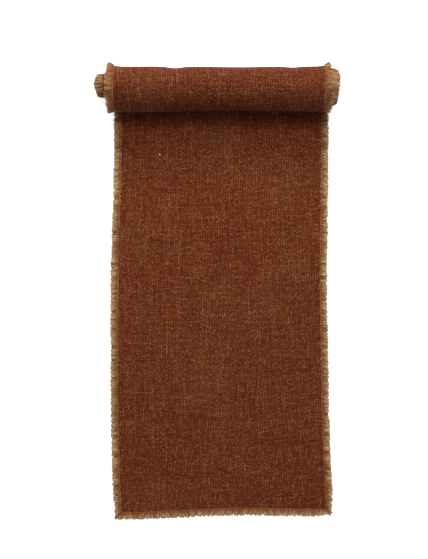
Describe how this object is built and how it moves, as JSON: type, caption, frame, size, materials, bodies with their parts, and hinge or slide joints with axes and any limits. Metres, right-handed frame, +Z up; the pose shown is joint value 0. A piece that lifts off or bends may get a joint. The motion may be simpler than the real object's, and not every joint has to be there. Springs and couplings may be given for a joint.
{
  "type": "table runner",
  "caption": "Long slubby woven table runner with frayed fringes on every edge, partly unrolled: a rolled part, a laid part and a free end that folds back on a pressed crease.",
  "frame": {"origin": "on the surface that the runner lies on, on the laid cloth's centre line, midway between the free end's fringe tips and the back of the roll", "axes": "+Y along the runner from the free end to the roll, +Z up from the surface, +X to the right seen with the roll at the far end"},
  "size_m": [0.389, 0.732, 0.0727],
  "materials": {
    "woven_cloth": "matt slubby plain weave, rust with tan slubs",
    "fringe_yarn": "matt loose yarns, tan to golden brown",
    "stay_stitch_thread": "matt fine sewing thread, dark rust"
  },
  "bodies": {
    "laid_and_rolled": {"laid_cloth": "woven_cloth", "laid_stay_stitch_left": "stay_stitch_thread", "laid_stay_stitch_right": "stay_stitch_thread", "laid_fringe_left": "fringe_yarn", "laid_fringe_right": "fringe_yarn", "outer_turns_cloth": "woven_cloth", "outer_turns_stay_stitch_left": "stay_stitch_thread", "outer_turns_stay_stitch_right": "stay_stitch_thread", "outer_turns_fringe_left": "fringe_yarn", "outer_turns_fringe_right": "fringe_yarn", "middle_turns_cloth": "woven_cloth", "middle_turns_stay_stitch_left": "stay_stitch_thread", "middle_turns_stay_stitch_right": "stay_stitch_thread", "middle_turns_fringe_left": "fringe_yarn", "middle_turns_fringe_right": "fringe_yarn", "core_turns_cloth": "woven_cloth", "core_turns_stay_stitch_left": "stay_stitch_thread", "core_turns_stay_stitch_right": "stay_stitch_thread", "core_turns_fringe_left": "fringe_yarn", "core_turns_fringe_right": "fringe_yarn", "inner_end_stay_stitch": "stay_stitch_thread", "inner_end_fringe": "fringe_yarn"},
    "free_end": {"free_end_cloth": "woven_cloth", "free_end_stay_stitch_left": "stay_stitch_thread", "free_end_stay_stitch_right": "stay_stitch_thread", "front_stay_stitch": "stay_stitch_thread", "free_end_fringe_left": "fringe_yarn", "free_end_fringe_right": "fringe_yarn", "front_fringe": "fringe_yarn"}
  },
  "joints": [
    {"name": "free_end_fold", "type": "hinge", "parent": "laid_and_rolled", "child": "free_end", "pos_m": [0, -0.20075, 0.0011], "axis": [-1, 0, 0], "range_deg": [0, 175]}
  ]
}
